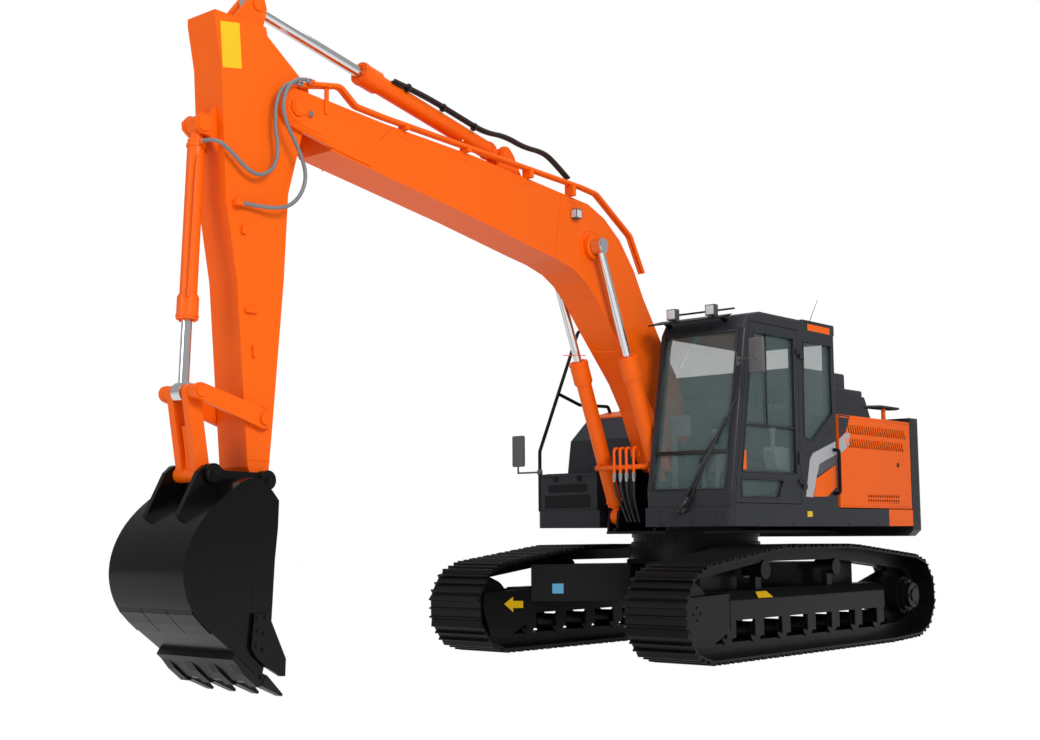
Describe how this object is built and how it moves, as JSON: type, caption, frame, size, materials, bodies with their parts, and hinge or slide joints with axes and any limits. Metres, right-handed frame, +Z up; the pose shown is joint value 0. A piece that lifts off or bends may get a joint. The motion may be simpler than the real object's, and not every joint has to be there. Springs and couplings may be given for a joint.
{
  "type": "crawler excavator",
  "caption": "Tracked excavator with an orange boom, arm and bucket, a dark cab on the left, a counterweight behind and grousered track shoes.",
  "frame": {"origin": "on the ground, under the middle of the machine's box as it stands in the picture", "axes": "+X forward along the tracks and the boom, +Y to the cab side (left), +Z up"},
  "size_m": [8.7651, 3.16, 4.797],
  "materials": {
    "orange_paint": "glossy",
    "grey_paint": "satin",
    "black_paint": "semi-gloss",
    "track_steel": "semi-gloss",
    "bucket_black": "glossy",
    "tooth_steel": "satin",
    "casting": "painted satin",
    "rod_chrome": "polished",
    "pin_steel": "satin",
    "cab_glass": "clear, slightly teal",
    "interior_plastic": "matte",
    "seat_fabric": "woven",
    "lamp": "clear lens in a black case",
    "black_plastic": "textured"
  },
  "bodies": {
    "undercarriage": {"track_left": "track_steel", "track_right": "track_steel", "idlers": "track_steel", "sprockets": "track_steel", "final_drives": "track_steel", "track_rollers": "track_steel", "carrier_rollers": "track_steel", "track_frames": "black_paint", "car_body": "black_paint", "car_body_legs": "black_paint", "slew_ring": "pin_steel"},
    "upper": {"main_frame": "black_paint", "deck_skirts": "grey_paint", "rear_skirts": "orange_paint", "deck_plates": "black_paint", "counterweight": "grey_paint", "engine_bay": "black_paint", "engine_block": "casting", "cab_shell": "grey_paint", "cab_glass": "cab_glass", "cab_visor": "black_paint", "cab_lamps": "lamp", "seat_base": "black_paint", "operator_seat": "seat_fabric", "controls": "interior_plastic", "tank_covers": "grey_paint", "tank_plate": "orange_paint", "toolbox": "grey_paint", "exhaust": "black_paint", "hand_rails": "black_paint", "mirrors": "black_plastic"},
    "cab_door": {"cab_door": "grey_paint", "cab_door_glass": "cab_glass"},
    "left_service_door": {"left_service_door": "orange_paint"},
    "right_service_door": {"right_service_door": "grey_paint"},
    "engine_hood": {"engine_hood": "grey_paint"},
    "toolbox_lid": {"toolbox_lid": "grey_paint"},
    "boom": {"boom": "orange_paint", "boom_pins": "pin_steel", "boom_pipes": "orange_paint", "boom_lamp": "lamp"},
    "boom_cylinder_barrels": {"boom_cylinder_barrels": "orange_paint"},
    "boom_cylinder_rods": {"boom_cylinder_rods": "rod_chrome"},
    "arm_cylinder_barrel": {"arm_cylinder_barrel": "orange_paint"},
    "arm_cylinder_rod": {"arm_cylinder_rod": "rod_chrome"},
    "arm": {"arm": "orange_paint", "arm_pins": "pin_steel"},
    "bucket_cylinder_barrel": {"bucket_cylinder_barrel": "orange_paint"},
    "bucket_cylinder_rod": {"bucket_cylinder_rod": "rod_chrome"},
    "rocker_links": {"rocker_links": "orange_paint"},
    "h_link": {"h_link": "orange_paint"},
    "bucket": {"bucket_shell": "bucket_black", "bucket_ears": "bucket_black", "bucket_edge": "tooth_steel", "bucket_teeth": "tooth_steel", "side_cutters": "bucket_black"}
  },
  "joints": [
    {"name": "slew", "type": "hinge", "parent": "undercarriage", "child": "upper", "pos_m": [-1.78, 0, 0.967], "axis": [0, 0, 1], "continuous": true},
    {"name": "boom_lift", "type": "hinge", "parent": "upper", "child": "boom", "pos_m": [-1.26, 0, 1.75], "axis": [0, -1, 0], "range_deg": [-78, 30]},
    {"name": "boom_cylinder_swing", "type": "hinge", "parent": "upper", "child": "boom_cylinder_barrels", "pos_m": [-0.93, 0, 1.2], "axis": [0, -1, 0], "range_deg": [-74, 29]},
    {"name": "boom_cylinder_stroke", "type": "slide", "parent": "boom_cylinder_barrels", "child": "boom_cylinder_rods", "axis": [0.3789, 0, 0.9254], "range_m": [-0.785, 0.303]},
    {"name": "arm_swing", "type": "hinge", "parent": "boom", "child": "arm", "pos_m": [3.36, 0, 4.015], "axis": [0, 1, 0], "range_deg": [-65, 46]},
    {"name": "arm_cylinder_swing", "type": "hinge", "parent": "boom", "child": "arm_cylinder_barrel", "pos_m": [1.01, 0, 4.155], "axis": [0, 1, 0], "range_deg": [-8, 6]},
    {"name": "arm_cylinder_stroke", "type": "slide", "parent": "arm_cylinder_barrel", "child": "arm_cylinder_rod", "axis": [0.9774, 0, 0.2116], "range_m": [-0.705, 0.5]},
    {"name": "bucket_curl", "type": "hinge", "parent": "arm", "child": "bucket", "pos_m": [3.59, 0, 1.412], "axis": [0, 1, 0], "range_deg": [-45, 129]},
    {"name": "rocker_swing", "type": "hinge", "parent": "arm", "child": "rocker_links", "pos_m": [3.606, 0, 1.822], "axis": [0, 1, 0], "range_deg": [-32, 91]},
    {"name": "h_link_swing", "type": "hinge", "parent": "bucket", "child": "h_link", "pos_m": [4.032, 0, 1.446], "axis": [0, 1, 0], "range_deg": [-88, 31]},
    {"name": "bucket_cylinder_swing", "type": "hinge", "parent": "arm", "child": "bucket_cylinder_barrel", "pos_m": [4.055, 0, 3.775], "axis": [0, 1, 0], "range_deg": [-3, 8]},
    {"name": "bucket_cylinder_stroke", "type": "slide", "parent": "bucket_cylinder_barrel", "child": "bucket_cylinder_rod", "axis": [0.0389, 0, -0.9992], "range_m": [-0.252, 0.72]},
    {"name": "cab_door_hinge", "type": "hinge", "parent": "upper", "child": "cab_door", "pos_m": [-1.645, 1.264, 2], "axis": [0, 0, 1], "range_deg": [0, 160]},
    {"name": "left_service_door_hinge", "type": "hinge", "parent": "upper", "child": "left_service_door", "pos_m": [-3.824, 1.25, 1.7], "axis": [0, 0, 1], "range_deg": [0, 95]},
    {"name": "right_service_door_hinge", "type": "hinge", "parent": "upper", "child": "right_service_door", "pos_m": [-3.824, -1.25, 1.7], "axis": [0, 0, -1], "range_deg": [0, 95]},
    {"name": "engine_hood_hinge", "type": "hinge", "parent": "upper", "child": "engine_hood", "pos_m": [-3.774, 0, 2.138], "axis": [0, -1, 0], "range_deg": [0, 55]},
    {"name": "toolbox_lid_hinge", "type": "hinge", "parent": "upper", "child": "toolbox_lid", "pos_m": [-1.325, -0.86, 1.615], "axis": [0, -1, 0], "range_deg": [0, 80]}
  ],
  "couplings": [
    {"joint": "boom_cylinder_swing", "follows": "boom_lift", "ratio": 0.9426},
    {"joint": "boom_cylinder_stroke", "follows": "boom_lift", "m_per_rad": 0.5748},
    {"joint": "arm_cylinder_swing", "follows": "arm_swing", "ratio": 0.1131},
    {"joint": "arm_cylinder_stroke", "follows": "arm_swing", "m_per_rad": 0.62},
    {"joint": "rocker_swing", "follows": "bucket_curl", "ratio": 0.7},
    {"joint": "h_link_swing", "follows": "bucket_curl", "ratio": -0.68},
    {"joint": "bucket_cylinder_swing", "follows": "bucket_curl", "ratio": 0.0605},
    {"joint": "bucket_cylinder_stroke", "follows": "bucket_curl", "m_per_rad": 0.3194}
  ]
}
